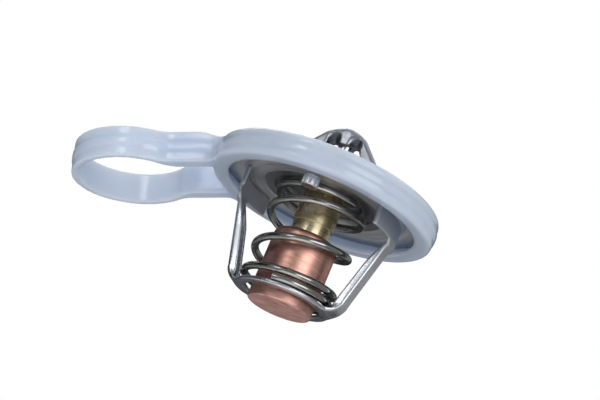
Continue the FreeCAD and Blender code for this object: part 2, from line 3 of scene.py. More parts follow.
import bmesh
import bpy
from bpy.props import FloatProperty, FloatVectorProperty, IntProperty, PointerProperty
from mathutils import Matrix, Vector


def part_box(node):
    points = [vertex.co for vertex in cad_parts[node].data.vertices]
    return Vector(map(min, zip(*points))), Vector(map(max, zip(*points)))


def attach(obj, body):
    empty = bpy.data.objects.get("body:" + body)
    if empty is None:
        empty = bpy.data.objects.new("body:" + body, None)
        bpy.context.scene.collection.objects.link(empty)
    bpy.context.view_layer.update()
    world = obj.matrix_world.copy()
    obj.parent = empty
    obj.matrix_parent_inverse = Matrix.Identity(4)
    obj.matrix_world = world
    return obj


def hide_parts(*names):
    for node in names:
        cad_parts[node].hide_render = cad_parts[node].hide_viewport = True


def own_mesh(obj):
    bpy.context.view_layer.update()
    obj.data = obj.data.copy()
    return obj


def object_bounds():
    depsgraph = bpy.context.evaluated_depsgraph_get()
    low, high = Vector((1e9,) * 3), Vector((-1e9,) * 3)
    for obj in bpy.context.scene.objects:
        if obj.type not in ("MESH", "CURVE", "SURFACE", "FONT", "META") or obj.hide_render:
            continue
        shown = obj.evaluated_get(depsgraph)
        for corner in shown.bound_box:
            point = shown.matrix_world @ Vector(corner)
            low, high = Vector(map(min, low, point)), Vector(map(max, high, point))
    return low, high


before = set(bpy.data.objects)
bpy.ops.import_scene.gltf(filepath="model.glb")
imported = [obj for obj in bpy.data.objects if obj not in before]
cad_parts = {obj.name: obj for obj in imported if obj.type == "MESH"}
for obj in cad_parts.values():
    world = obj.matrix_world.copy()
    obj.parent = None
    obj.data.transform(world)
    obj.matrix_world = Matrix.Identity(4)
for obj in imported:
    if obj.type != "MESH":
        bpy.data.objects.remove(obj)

bl_info = {
    "name": "Engine thermostat",
    "version": (1, 0, 0),
    "blender": (4, 5, 0),
    "location": "View3D > Sidebar > Thermostat",
    "description": "Finishes the pieces of an insert thermostat and sets up its studio",
    "category": "Object",
}

MM = 0.001
SAME_PLACE = 1e-6
SHARP_ANGLE = 40.0
SIDES_PER_KNURL = 4
KNURL_SHARP = 25.0
BRIDGE_ROUNDS, FOLD_ROUNDS, LEG_ROUNDS = 16, 170, 5
# Radii inside and outside which the lower frame's sheet gets painted shade, and the widths over which it
# fades.
PAINTED_SHADE_ENDS = (15.5 * MM, 19.0 * MM)
PAINTED_SHADE_FADES = (3.0 * MM, 1.5 * MM)
CAD_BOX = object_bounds()
CUP_LOW, CUP_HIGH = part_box("cup")
SPRING_LOW, SPRING_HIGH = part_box("spring")
PIN_LOW, PIN_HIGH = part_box("jiggle_pin")
PISTON_LOW, PISTON_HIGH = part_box("piston")


def metres(name, description, default, least=0.0):
    """A length that a user can change."""
    return FloatProperty(name=name, description=description, default=default, min=least,
                         unit="LENGTH", precision=5)


def colour(name, description, default):
    """A surface colour that a user can change."""
    return FloatVectorProperty(name=name, description="Colour of " + description, default=default, size=3,
                               subtype="COLOR", min=0.0, max=1.0)


def share(name, description, default):
    """A plain number from nothing to one."""
    return FloatProperty(name=name, description=description, default=default, min=0.0, max=1.0)


def count(name, description, default):
    """A whole number that a user can change."""
    return IntProperty(name=name, description=description, default=default, min=1)


class ThermostatRubber(bpy.types.PropertyGroup):
    silicone: colour("Silicone", "the translucent gasket", (0.58, 0.655, 0.785))
    cell: metres("Cell", "Size of the faces of the rebuilt moulding", 0.34 * MM, 0.1 * MM)
    softness: count("Softness", "Smoothing rounds on the moulding's edges", 5)
    dark_rubber: colour("Dark rubber", "the seal, plug and diaphragm", (0.03, 0.03, 0.032))
    washer: colour("Washer", "the hard washer under the piston", (0.82, 0.81, 0.76))
    wax: colour("Wax", "the wax charge with its metal powder", (0.55, 0.40, 0.24))


class ThermostatSheet(bpy.types.PropertyGroup):
    steel: colour("Stainless sheet", "the lower frame", (0.70, 0.735, 0.79))
    # Painted shade: the flange is the same stainless sheet as the lower frame, coloured darker.
    flange_shaded_steel: colour("Flange sheet", "the flange, dull from the press", (0.53, 0.54, 0.56))
    # Painted shade: the valve disc is the same stainless sheet, coloured darker still.
    disc_shaded_steel: colour("Disc sheet", "the valve disc, stained by coolant", (0.40, 0.41, 0.43))
    # Painted shade: the bridge is the same stainless sheet, coloured darkest.
    bridge_shaded_steel: colour("Bridge sheet", "the bridge, annealed darker", (0.36, 0.39, 0.435))
    bridge_cell: metres("Bridge cell", "Size of the faces of the rebuilt bridge", 0.16 * MM, 0.1 * MM)
    fold_offset: metres("Fold offset", "From the axis to the pressed folds beside the socket", 3.0 * MM)
    fold_reach: metres("Fold reach", "Half of the width over which the folds run soft", 1.3 * MM)
    leg_cell: metres("Leg cell", "Size of the faces of the rebuilt legs", 0.26 * MM, 0.1 * MM)
    edge: metres("Edge", "Width of the broken edge on pressed sheet", 0.14 * MM)
    disc_edge: metres("Disc edge", "Width of the broken edge on the valve disc", 0.08 * MM)


class ThermostatSpring(bpy.types.PropertyGroup):
    wire_colour: colour("Wire", "the drawn spring wire", (0.36, 0.36, 0.355))
    wire_radius: metres("Wire radius", "Half of the wire's thickness", 1.0 * MM, 0.1 * MM)
    closed_pitch: metres("Closed pitch", "Rise of a closed end turn", 2.2 * MM)
    bottom_turns: FloatProperty(name="Bottom turns", description="Closed turns on the hub", default=1.22)
    top_turns: FloatProperty(name="Top turns", description="Closed turns under the disc", default=0.95)
    active_turns: FloatProperty(name="Active turns", description="Open turns between the ends", default=2.0)
    blend_turns: FloatProperty(name="Blend", description="Turns over which the pitch changes", default=0.2)
    tip_angle: FloatProperty(name="Tip angle", description="Direction of the lower cut end",
                             default=math.radians(-93), subtype="ANGLE")
    tip_edge: metres("Tip edge", "Width of the broken edge on the cut ends", 0.12 * MM)


class ThermostatActuator(bpy.types.PropertyGroup):
    copper: colour("Copper", "the drawn cup", (0.83, 0.47, 0.38))
    brass: colour("Brass", "the turned guide", (0.93, 0.80, 0.50))
    bright_steel: colour("Bright steel", "the ground piston", (0.62, 0.62, 0.63))
    plating: colour("Plating", "the vent pin", (0.66, 0.68, 0.71))
    shoulder: metres("Shoulder", "Rounding of the cup's shoulder", 1.6 * MM)
    corner: metres("Corner", "Rounding of the cup's bottom edge", 0.55 * MM)
    cup_wall: metres("Cup wall", "Thickness of the cup's wall", 0.95 * MM)
    cup_mouth: metres("Cup mouth", "Radius of the hole in the rolled shoulder", 5.1 * MM)
    cup_mouth_round: metres("Cup mouth round", "Rounding of that hole's edge", 0.3 * MM)
    cup_crimp: metres("Cup crimp", "Thickness of the shoulder rolled over the guide", 1.0 * MM)
    cup_ledge: metres("Cup ledge", "Width of the ledge under the diaphragm", 0.65 * MM)
    cup_seat: metres("Cup seat", "Depth of that ledge below the shoulder", 3.6 * MM)
    piston_tip: metres("Piston tip", "Rounding of the piston's ends", 0.35 * MM)
    pin_neck: metres("Pin neck", "Radius of the vent pin's neck", 1.0 * MM)
    pin_cap: metres("Pin cap", "Radius of the vent pin's cap", 2.0 * MM)
    pin_cap_height: metres("Pin cap height", "Height of the vent pin's cap", 1.1 * MM)
    pin_head_height: metres("Pin head height", "Height of the vent pin's head", 2.7 * MM)
    pin_head_edge: metres("Pin head edge", "Rounding of the head's edges", 0.28 * MM)
    pin_cap_edge: metres("Pin cap edge", "Rounding of the cap's lower edge", 0.1 * MM)
    pin_cap_round: metres("Pin cap round", "Rounding of the cap's dome", 0.75 * MM)
    knurls: count("Knurls", "Ribs round the vent pin's head", 28)
    knurl_depth: metres("Knurl depth", "Depth of the grooves between the ribs", 0.09 * MM)


class ThermostatStage(bpy.types.PropertyGroup):
    azimuth: FloatProperty(name="Azimuth", description="Direction of the camera round the axis",
                           default=math.radians(19.44), subtype="ANGLE")
    elevation: FloatProperty(name="Elevation", description="Height of the camera over the horizon",
                             default=math.radians(-17.82), subtype="ANGLE")
    roll: FloatProperty(name="Roll", description="Turn of the camera about its own line of sight",
                        default=math.radians(23.10), subtype="ANGLE")
    distance: metres("Distance", "From the camera to the plane of the flange's middle", 408.54 * MM)
    aside: metres("Aside", "How far the object sits right of the picture's middle", 6.29 * MM)
    raised: metres("Raised", "How far the object sits above the picture's middle", 0.52 * MM)
    lens: FloatProperty(name="Lens", description="Focal length in millimetres", default=96.0)
    floor_colour: colour("Floor", "the floor", (0.86, 0.865, 0.87))
    floor_size: metres("Floor size", "Length of the floor's side", 3.0)
    floor_gap: metres("Floor gap", "From the cup's end down to the floor", 0.1 * MM)
    world_level: share("Fill", "Brightness of the surroundings on the object", 0.64)
    key_level: share("Key", "Share of the light from the large lamp", 0.35)
    rim_level: share("Rim", "Share of the light from the lamp behind", 0.25)
    under_level: share("Under light", "Share of the light from below the floor", 0.24)
    side_level: share("Side light", "Share of the light from the lamp left of the camera", 0.075)
    tent_grey: share("Tent", "Grey of the tent that the metal reflects", 0.46)
    tent_radius: metres("Tent radius", "Radius of the tent round the lamps", 0.95)
    tent_height: metres("Tent height", "Height of the tent, open at both ends", 2.20)
    card_grey: share("Cards", "Grey of the dark cards that the metal reflects", 0.04)
    card_foot: share("Card foot", "Grey of the lower part of the card behind", 0.16)


# Mesh tools
def only(piece):
    """Makes piece the one selected and active object."""
    bpy.ops.object.select_all(action="DESELECT")
    piece.select_set(True)
    bpy.context.view_layer.objects.active = piece


def pick(piece, chosen):
    """Selects, in edit mode, the edges for which chosen(edge) is true."""
    mesh = bmesh.from_edit_mesh(piece.data)
    for face in mesh.faces:
        face.select = False
    for edge in mesh.edges:
        edge.select = False
    for vertex in mesh.verts:
        vertex.select = False
    for edge in mesh.edges:
        if chosen(edge):
            edge.select = True
    bmesh.update_edit_mesh(piece.data)


def apply_all(piece):
    """Applies the modifiers of piece in order."""
    only(piece)
    for name in [modifier.name for modifier in piece.modifiers]:
        bpy.ops.object.modifier_apply(modifier=name)


def merged_copy(node, name):
    """A new object with the CAD node's surface, its loose triangles joined."""
    piece = bpy.data.objects.new(name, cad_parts[node].data.copy())
    piece.data.name = name
    bpy.context.scene.collection.objects.link(piece)
    only(piece)
    bpy.ops.mesh.customdata_custom_splitnormals_clear()
    bpy.ops.object.mode_set(mode="EDIT")
    bpy.ops.mesh.select_all(action="SELECT")
    bpy.ops.mesh.remove_doubles(threshold=SAME_PLACE)
    bpy.ops.mesh.delete_loose()
    bpy.ops.object.mode_set(mode="OBJECT")
    return piece


def broken_edges(piece, width):
    """Rounds all sharp edges and shades the faces between them smoothly."""
    bevel = piece.modifiers.new("Broken edges", "BEVEL")
    bevel.width = width
    bevel.segments = 2
    bevel.limit_method = "ANGLE"
    bevel.angle_limit = math.radians(SHARP_ANGLE)
    bevel.use_clamp_overlap = True
    bevel.miter_outer = "MITER_ARC"
    apply_all(piece)
    smooth(piece)


def rebuilt(piece, cell, rounds):
    """Rebuilds the surface from even faces and lets its edges run soft, as in a moulding or a pressing."""
    cells = piece.modifiers.new("Even cells", "REMESH")
    cells.mode = "VOXEL"
    cells.voxel_size = cell
    cells.use_smooth_shade = True
    soft = piece.modifiers.new("Soft edges", "SMOOTH")
    soft.factor = 0.5
    soft.iterations = rounds
    apply_all(piece)


def softened(piece, rounds, near):
    """Lets the folds run softer where near(place) is above nothing."""
    folds = piece.vertex_groups.new(name="Folds")
    for vertex in piece.data.vertices:
        weight = near(vertex.co)
        if weight > 0:
            folds.add([vertex.index], min(weight, 1.0), "REPLACE")
    soft = piece.modifiers.new("Soft folds", "SMOOTH")
    soft.factor = 0.5
    soft.iterations = rounds
    soft.vertex_group = folds.name
    apply_all(piece)
    piece.vertex_groups.clear()


def smooth(piece, sharp=SHARP_ANGLE):
    """Smooth shading, with the edges sharper than an angle left crisp."""
    only(piece)
    bpy.ops.object.shade_smooth_by_angle(angle=math.radians(sharp))
    weights = piece.modifiers.new("Flat faces first", "WEIGHTED_NORMAL")
    weights.keep_sharp = True
    apply_all(piece)


def lathe(name, profile, sides=128):
    """Turned piece about the axis through rings of (radius, height, rounding).

    The first ring and the last each bound a flat disc.
    """
    radius, height, _ = profile[0]
    bpy.ops.object.select_all(action="DESELECT")
    bpy.ops.mesh.primitive_circle_add(vertices=sides, radius=radius, fill_type="NGON",
                                      location=(0, 0, height))
    bpy.ops.object.transform_apply(location=True, rotation=True, scale=True)
    piece = bpy.context.object
    piece.name = name
    piece.data.name = name
    bpy.ops.object.mode_set(mode="EDIT")
    for next_radius, next_height, _ in profile[1:]:
        pick(piece, on_ring(radius, height))
        bpy.ops.mesh.extrude_edges_move(
            TRANSFORM_OT_translate={"value": (0, 0, next_height - height)})
        scale = next_radius / radius
        bpy.ops.transform.resize(value=(scale, scale, 1), center_override=(0, 0, next_height))
        radius, height = next_radius, next_height
    pick(piece, on_ring(radius, height))
    bpy.ops.mesh.edge_face_add()
    bpy.ops.mesh.select_all(action="SELECT")
    bpy.ops.mesh.normals_make_consistent(inside=False)
    for ring_radius, ring_height, rounding in profile:
        if rounding:
            pick(piece, on_ring(ring_radius, ring_height))
            bpy.ops.mesh.bevel(offset=rounding, segments=5, affect="EDGES", clamp_overlap=False)
    bpy.ops.object.mode_set(mode="OBJECT")
    return piece


def on_ring(radius, height):
    """Test for edges that lie on one ring about the axis."""
    def lies(edge):
        return all(abs(vertex.co.z - height) < SAME_PLACE
                   and abs(vertex.co.xy.length - radius) < SAME_PLACE for vertex in edge.verts)

    return lies


def finish_piece(piece, body, slot_name, material, *nodes):
    """Gives piece its material and body, and lets it stand for CAD nodes."""
    piece.data.materials.clear()
    piece.data.materials.append(material)
    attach(piece, body)
    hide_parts(*nodes)


# Material tools
def put(tree, kind, inputs=None, **settings):
    """Adds a node with its options, and sets or links its inputs by name or number."""
    made = tree.nodes.new(kind)
    for key, value in settings.items():
        setattr(made, key, value)
    for key, value in (inputs or {}).items():
        socket = made.inputs[key]
        if isinstance(value, bpy.types.NodeSocket):
            tree.links.new(value, socket)
        else:
            socket.default_value = value
    return made


def sums(tree, operation, first, second, clamp=False):
    """Output of a Math node."""
    made = put(tree, "ShaderNodeMath", {0: first, 1: second}, operation=operation)
    made.use_clamp = clamp
    return made.outputs[0]


def plus(tree, value, mask, amount):
    """A value and a share of a mask."""
    return sums(tree, "ADD", value, sums(tree, "MULTIPLY", mask, amount))


def noise(tree, place, scale, **more):
    """Value of a Noise texture."""
    return put(tree, "ShaderNodeTexNoise", {"Vector": place, "Scale": scale, **more}).outputs[0]


def blend_colour(tree, amount, first, second):
    """Colour between first and second."""
    made = put(tree, "ShaderNodeMix", {0: amount, 6: first, 7: second}, data_type="RGBA")
    return made.outputs[2]


def spread(tree, value, low, high, new_low=0.0, new_high=1.0):
    """Output of a Map Range node."""
    return put(tree, "ShaderNodeMapRange", {0: value, 1: low, 2: high, 3: new_low, 4: new_high}).outputs[0]


def new_group(name, inputs, outputs):
    """Empty node group with named sockets; returns tree, its inputs and its output node."""
    tree = bpy.data.node_groups.new(name, "ShaderNodeTree")
    for label, kind, default in inputs:
        socket = tree.interface.new_socket(label, in_out="INPUT", socket_type=kind)
        if default is not None:
            socket.default_value = default
    for label, kind in outputs:
        tree.interface.new_socket(label, in_out="OUTPUT", socket_type=kind)
    source = tree.nodes.new("NodeGroupInput")
    target = tree.nodes.new("NodeGroupOutput")
    return tree, source.outputs, target.inputs


def turning_marks_group():
    """Fine grooves that run round the axis, as a lathe, a drawing die or a spinning brush leaves them."""
    tree, given, result = new_group(
        "Turning marks",
        [("Place", "NodeSocketVector", None), ("Fineness", "NodeSocketFloat", 2500.0),
         ("Length", "NodeSocketFloat", 1.2)],
        [("Mask", "NodeSocketFloat"), ("Soft", "NodeSocketFloat")])
    parts = put(tree, "ShaderNodeSeparateXYZ", {0: given["Place"]}).outputs
    flat = put(tree, "ShaderNodeCombineXYZ", {0: parts[0], 1: parts[1], 2: 0.0}).outputs[0]
    radius = put(tree, "ShaderNodeVectorMath", {0: flat}, operation="LENGTH").outputs["Value"]
    safe = sums(tree, "MAXIMUM", radius, 1e-5)
    cosine = sums(tree, "MULTIPLY", sums(tree, "DIVIDE", parts[0], safe), given["Length"])
    sine = sums(tree, "MULTIPLY", sums(tree, "DIVIDE", parts[1], safe), given["Length"])
    across = sums(tree, "MULTIPLY", radius, given["Fineness"])
    along = sums(tree, "MULTIPLY", parts[2], given["Fineness"])
    lines = put(tree, "ShaderNodeCombineXYZ", {0: across, 1: along, 2: cosine}).outputs[0]
    fine = put(tree, "ShaderNodeTexNoise", {"Vector": lines, "W": sine, "Scale": 1.0, "Detail": 3.0,
                                            "Roughness": 0.6}, noise_dimensions="4D").outputs[0]
    broad = put(tree, "ShaderNodeTexNoise", {"Vector": lines, "W": sine, "Scale": 0.22, "Detail": 2.0},
                noise_dimensions="4D").outputs[0]
    tree.links.new(spread(tree, fine, 0.3, 0.7), result["Mask"])
    tree.links.new(spread(tree, broad, 0.3, 0.7), result["Soft"])
    return tree


def rolled_grain_group():
    """Fine streaks of cold rolled sheet along one direction, with small pits between them."""
    tree, given, result = new_group(
        "Rolled grain",
        [("Place", "NodeSocketVector", None), ("Fineness", "NodeSocketFloat", 3000.0)],
        [("Streaks", "NodeSocketFloat"), ("Pits", "NodeSocketFloat")])
    squeezed = put(tree, "ShaderNodeVectorMath", {0: given["Place"], 1: (0.06, 1.0, 1.0)},
                   operation="MULTIPLY").outputs[0]
    streaks = noise(tree, squeezed, given["Fineness"], Detail=3.0, Roughness=0.65)
    pits = put(tree, "ShaderNodeTexVoronoi",
               {"Vector": given["Place"], "Scale": given["Fineness"]}).outputs[0]
    tree.links.new(spread(tree, streaks, 0.3, 0.7), result["Streaks"])
    tree.links.new(spread(tree, pits, 0.0, 0.35), result["Pits"])
    return tree


def handling_group():
    """Soft blotches and stray scratches of a part that went through many hands."""
    tree, given, result = new_group(
        "Handling",
        [("Place", "NodeSocketVector", None), ("Size", "NodeSocketFloat", 260.0)],
        [("Blotches", "NodeSocketFloat"), ("Scratches", "NodeSocketFloat")])
    blotches = noise(tree, given["Place"], given["Size"], Detail=4.0, Distortion=0.4)
    stretched = put(tree, "ShaderNodeMapping", {"Vector": given["Place"], "Rotation": (0.7, 0.4, 0.9),
                                                "Scale": (0.05, 1.0, 1.0)}).outputs[0]
    lines = noise(tree, stretched, 2200.0, Detail=1.0)
    tree.links.new(spread(tree, blotches, 0.35, 0.65), result["Blotches"])
    tree.links.new(spread(tree, lines, 0.70, 0.76), result["Scratches"])
    return tree


def edge_wear_and_highlight_group():
    """Mask of outer edges, where a part rubs bright and where a painted highlight lies, and the normal with
    those edges rounded.
    """
    tree, given, result = new_group(
        "Edge wear and highlight",
        [("Place", "NodeSocketVector", None)],
        [("Mask", "NodeSocketFloat"), ("Normal", "NodeSocketVector")])
    rounded = put(tree, "ShaderNodeBevel", {"Radius": 0.25 * MM}, samples=4).outputs[0]
    geometry = put(tree, "ShaderNodeNewGeometry")
    facing = put(tree, "ShaderNodeVectorMath", {0: rounded, 1: geometry.outputs["Normal"]},
                 operation="DOT_PRODUCT").outputs["Value"]
    uneven = noise(tree, given["Place"], 900.0)
    edge = spread(tree, facing, 0.995, 0.90)
    outer = spread(tree, geometry.outputs["Pointiness"], 0.49, 0.52)
    tree.links.new(sums(tree, "MULTIPLY", sums(tree, "MULTIPLY", edge, outer),
                        spread(tree, uneven, 0.3, 0.6), clamp=True), result["Mask"])
    tree.links.new(rounded, result["Normal"])
    return tree


GROUP_MAKERS = {
    "Turning marks": turning_marks_group,
    "Rolled grain": rolled_grain_group,
    "Handling": handling_group,
    "Edge wear and highlight": edge_wear_and_highlight_group,
}


def effect(tree, name, **values):
    """Outputs of a shared effect placed in a material."""
    group = bpy.data.node_groups.get(name) or GROUP_MAKERS[name]()
    return put(tree, "ShaderNodeGroup", values, node_tree=group).outputs


def new_material(name):
    """Material with a Principled shader; returns material, tree, shader and the object's coordinates."""
    material = bpy.data.materials.new(name)
    material.use_nodes = True
    tree = material.node_tree
    tree.nodes.clear()
    shader = tree.nodes.new("ShaderNodeBsdfPrincipled")
    output = tree.nodes.new("ShaderNodeOutputMaterial")
    tree.links.new(shader.outputs[0], output.inputs[0])
    place = tree.nodes.new("ShaderNodeTexCoord").outputs["Object"]
    return material, tree, shader, place


def surface_of(tree):
    """The input that a material's shader goes into."""
    return next(node for node in tree.nodes if node.type == "OUTPUT_MATERIAL").inputs[0]


def opaque(colour_value, factor=1.0):
    """Colour times a factor, with full alpha."""
    return (*(min(channel * factor, 1.0) for channel in colour_value), 1.0)


def bump(tree, height, distance, normal=None):
    """Normal from a height in metres times distance."""
    inputs = {"Height": height, "Distance": distance, "Strength": 1.0}
    if normal is not None:
        inputs["Normal"] = normal
    return put(tree, "ShaderNodeBump", inputs).outputs[0]


def finished(tree, shader, base, roughness, normal, metallic=1.0):
    """Connects what changes over a surface to its shader."""
    tree.links.new(base, shader.inputs["Base Color"])
    tree.links.new(roughness, shader.inputs["Roughness"])
    tree.links.new(normal, shader.inputs["Normal"])
    shader.inputs["Metallic"].default_value = metallic


def sheet_steel(name, steel, dark, rough, fineness, turned=False, painted_shade_ends=None):
    """Pressed stainless sheet: rolled streaks, soft blotches, and bright edges that are partly rubbed
    bright by use and partly a painted highlight.

    Painted shade, a darker colour, lies inside the first and outside the second radius given. On the lower
    frame that is round the hub and on the tabs under the flange, and outside the second radius the sheet is
    also rougher.
    """
    # Colour of the edges: rubbed bright by use, and a painted highlight.
    edge_wear_and_highlight_colour = (0.78, 0.80, 0.84)
    material, tree, shader, place = new_material(name)
    if turned:
        marks = effect(tree, "Turning marks", Place=place, Fineness=fineness, Length=1.0)
        streaks, pits = marks["Mask"], marks["Soft"]
    else:
        marks = effect(tree, "Rolled grain", Place=place, Fineness=fineness)
        streaks, pits = marks["Streaks"], marks["Pits"]
    hands = effect(tree, "Handling", Place=place, Size=180.0)
    edge_wear_and_highlight = effect(tree, "Edge wear and highlight", Place=place)
    grain = blend_colour(tree, streaks, opaque(steel, dark), opaque(steel))
    stained = blend_colour(tree, sums(tree, "MULTIPLY", hands["Blotches"], 0.35), grain,
                           opaque(steel, dark * 0.85))
    # Painted shade: a darker colour round the hub and on the tabs under the flange.
    if painted_shade_ends:
        level = put(tree, "ShaderNodeVectorMath", {0: place, 1: (1.0, 1.0, 0.0)},
                    operation="MULTIPLY").outputs[0]
        radius = put(tree, "ShaderNodeVectorMath", {0: level}, operation="LENGTH").outputs["Value"]
        inner = spread(tree, radius, painted_shade_ends[0], painted_shade_ends[0] - PAINTED_SHADE_FADES[0], 0.0, 0.4)
        outer = spread(tree, radius, painted_shade_ends[1], painted_shade_ends[1] + PAINTED_SHADE_FADES[1], 0.0, 0.5)
        painted_shade = sums(tree, "MAXIMUM", inner, outer)
        stained = blend_colour(tree, painted_shade, stained, opaque(steel, dark * 0.45))
        rough = plus(tree, rough, outer, 0.45)
    # Lighter edges: partly rubbed bright by use, partly a painted highlight.
    base = blend_colour(tree, sums(tree, "MULTIPLY", edge_wear_and_highlight["Mask"], 0.8), stained, opaque(edge_wear_and_highlight_colour))
    roughness = plus(tree, rough, streaks, 0.10)
    roughness = plus(tree, roughness, hands["Blotches"], 0.10)
    roughness = sums(tree, "SUBTRACT", roughness, sums(tree, "MULTIPLY", edge_wear_and_highlight["Mask"], 0.12), clamp=True)
    height = plus(tree, streaks, pits, 0.5)
    height = sums(tree, "SUBTRACT", height, hands["Scratches"])
    finished(tree, shader, base, roughness, bump(tree, height, 0.0009 * MM, edge_wear_and_highlight["Normal"]))
    return material


def silicone_rubber(silicone):
    """Translucent moulded silicone with faint flow lines and a dull skin."""
    material, tree, shader, place = new_material("moulded_silicone")
    clouds = noise(tree, place, 70.0, Detail=3.0)
    layers = put(tree, "ShaderNodeVectorMath", {0: place, 1: (0.12, 0.12, 1.0)},
                 operation="MULTIPLY").outputs[0]
    flow = noise(tree, layers, 1900.0, Detail=4.0)
    skin = noise(tree, place, 2600.0, Detail=2.0)
    tint = blend_colour(tree, spread(tree, clouds, 0.35, 0.65), opaque(silicone, 0.96),
                        opaque(silicone, 1.03))
    tint = blend_colour(tree, spread(tree, flow, 0.45, 0.8, 0.0, 0.25), tint, opaque(silicone, 1.12))
    roughness = spread(tree, clouds, 0.3, 0.7, 0.16, 0.26)
    height = plus(tree, flow, skin, 0.4)
    finished(tree, shader, tint, roughness, bump(tree, height, 0.008 * MM), metallic=0.0)
    for label, value in {"Subsurface Weight": 1.0, "Subsurface Radius": (1.0, 1.0, 1.0),
                         "Subsurface Scale": 6.5 * MM, "IOR": 1.41, "Coat Weight": 0.7,
                         "Coat Roughness": 0.06}.items():
        shader.inputs[label].default_value = value
    through = put(tree, "ShaderNodeBsdfTranslucent", {"Color": tint}).outputs[0]
    mixed = put(tree, "ShaderNodeMixShader", {0: 0.28, 1: shader.outputs[0], 2: through}).outputs[0]
    tree.links.new(mixed, surface_of(tree))
    return material


def drawn_wire(wire_colour):
    """Oil-dark drawn spring wire with lengthwise die marks."""
    oil_stain = (0.25, 0.22, 0.18)
    material, tree, shader, place = new_material("drawn_spring_wire")
    marks = effect(tree, "Turning marks", Place=place, Fineness=2600.0, Length=2.5)
    hands = effect(tree, "Handling", Place=place, Size=420.0)
    base = blend_colour(tree, marks["Mask"], opaque(wire_colour, 0.78), opaque(wire_colour, 1.04))
    base = blend_colour(tree, sums(tree, "MULTIPLY", hands["Blotches"], 0.4), base, opaque(oil_stain))
    roughness = plus(tree, 0.15, marks["Soft"], 0.12)
    height = sums(tree, "SUBTRACT", marks["Mask"], hands["Scratches"])
    finished(tree, shader, base, roughness, bump(tree, height, 0.002 * MM))
    return material


def turned_metal(name, metal, dark, rough, fineness, centre=(0.0, 0.0, 0.0), depth=0.002 * MM,
                 tarnish=0.45):
    """Machined or drawn metal with marks round its axis and a light tarnish."""
    material, tree, shader, place = new_material(name)
    place = put(tree, "ShaderNodeMapping",
                {"Vector": place, "Location": [-value for value in centre]}).outputs[0]
    marks = effect(tree, "Turning marks", Place=place, Fineness=fineness, Length=1.4)
    hands = effect(tree, "Handling", Place=place, Size=300.0)
    base = blend_colour(tree, marks["Mask"], opaque(metal, dark), opaque(metal, 1.04))
    base = blend_colour(tree, sums(tree, "MULTIPLY", hands["Blotches"], tarnish), base, opaque(metal, 0.7))
    roughness = plus(tree, rough, marks["Soft"], 0.12)
    roughness = plus(tree, roughness, hands["Blotches"], 0.08)
    height = sums(tree, "SUBTRACT", marks["Mask"], hands["Scratches"])
    finished(tree, shader, base, roughness, bump(tree, height, depth))
    return material


def drawn_copper(copper):
    """Copper cup: brushed round its wall, scuffed, duller end face with crossing scratches."""
    scuff_dark, scuff_bright, end_stain = (0.36, 0.20, 0.18), (0.86, 0.53, 0.47), (0.50, 0.30, 0.27)
    material, tree, shader, place = new_material("drawn_copper")
    marks = effect(tree, "Turning marks", Place=place, Fineness=4200.0, Length=3.0)
    hands = effect(tree, "Handling", Place=place, Size=240.0)
    height_here = put(tree, "ShaderNodeSeparateXYZ", {0: place}).outputs[2]
    end_face = spread(tree, height_here, CUP_LOW.z + 0.45 * MM, CUP_LOW.z + 0.05 * MM)
    lower_wall = spread(tree, height_here, CUP_LOW.z + 7.0 * MM, CUP_LOW.z + 2.0 * MM, 0.0, 0.35)
    scuff_place = put(tree, "ShaderNodeMapping", {"Vector": place, "Rotation": (0.0, 0.0, 0.6),
                                                  "Scale": (0.14, 1.0, 1.0)}).outputs[0]
    scuffs = noise(tree, scuff_place, 1200.0, Detail=6.0, Roughness=0.75)
    wall = blend_colour(tree, marks["Mask"], opaque(copper, 0.60), opaque(copper, 1.06))
    wall = blend_colour(tree, sums(tree, "MULTIPLY", hands["Blotches"], 0.45), wall,
                        opaque((copper[0] * 0.72, copper[1] * 0.62, copper[2] * 0.62)))
    dull = blend_colour(tree, spread(tree, scuffs, 0.40, 0.60), opaque(scuff_dark), opaque(scuff_bright))
    dull = blend_colour(tree, sums(tree, "MULTIPLY", hands["Blotches"], 0.5), dull, opaque(end_stain))
    worn = sums(tree, "MAXIMUM", end_face, lower_wall)
    roughness = plus(tree, 0.33, marks["Soft"], 0.12)
    roughness = plus(tree, roughness, worn, 0.22)
    wall_height = sums(tree, "MULTIPLY", marks["Mask"], sums(tree, "SUBTRACT", 1.0, end_face))
    end_height = sums(tree, "MULTIPLY", scuffs, sums(tree, "MULTIPLY", end_face, 9.0))
    height = sums(tree, "SUBTRACT", sums(tree, "ADD", wall_height, end_height), hands["Scratches"])
    base = blend_colour(tree, worn, wall, dull)
    finished(tree, shader, base, roughness, bump(tree, height, 0.0045 * MM))
    return material


def dull_solid(name, tone, rough, grain=1500.0, depth=0.01 * MM):
    """Rubber, hard plastic or wax: mottled colour and a grained dull skin."""
    material, tree, shader, place = new_material(name)
    hands = effect(tree, "Handling", Place=place, Size=200.0)
    skin = noise(tree, place, grain, Detail=4.0)
    base = blend_colour(tree, hands["Blotches"], opaque(tone, 0.85), opaque(tone, 1.12))
    roughness = spread(tree, skin, 0.3, 0.7, rough - 0.08, rough + 0.08)
    finished(tree, shader, base, roughness, bump(tree, skin, depth), metallic=0.0)
    return material


class ThermostatAddGasket(bpy.types.Operator):
    """Silicone moulding with soft edges"""
    bl_idname = "thermostat.add_gasket"
    bl_label = "Gasket"

    def execute(self, context):
        rubber = context.scene.thermostat_rubber
        piece = merged_copy("gasket", "moulded_gasket")
        rebuilt(piece, rubber.cell, rubber.softness)
        finish_piece(piece, "frame", "silicone", silicone_rubber(rubber.silicone), "gasket")
        return {"FINISHED"}


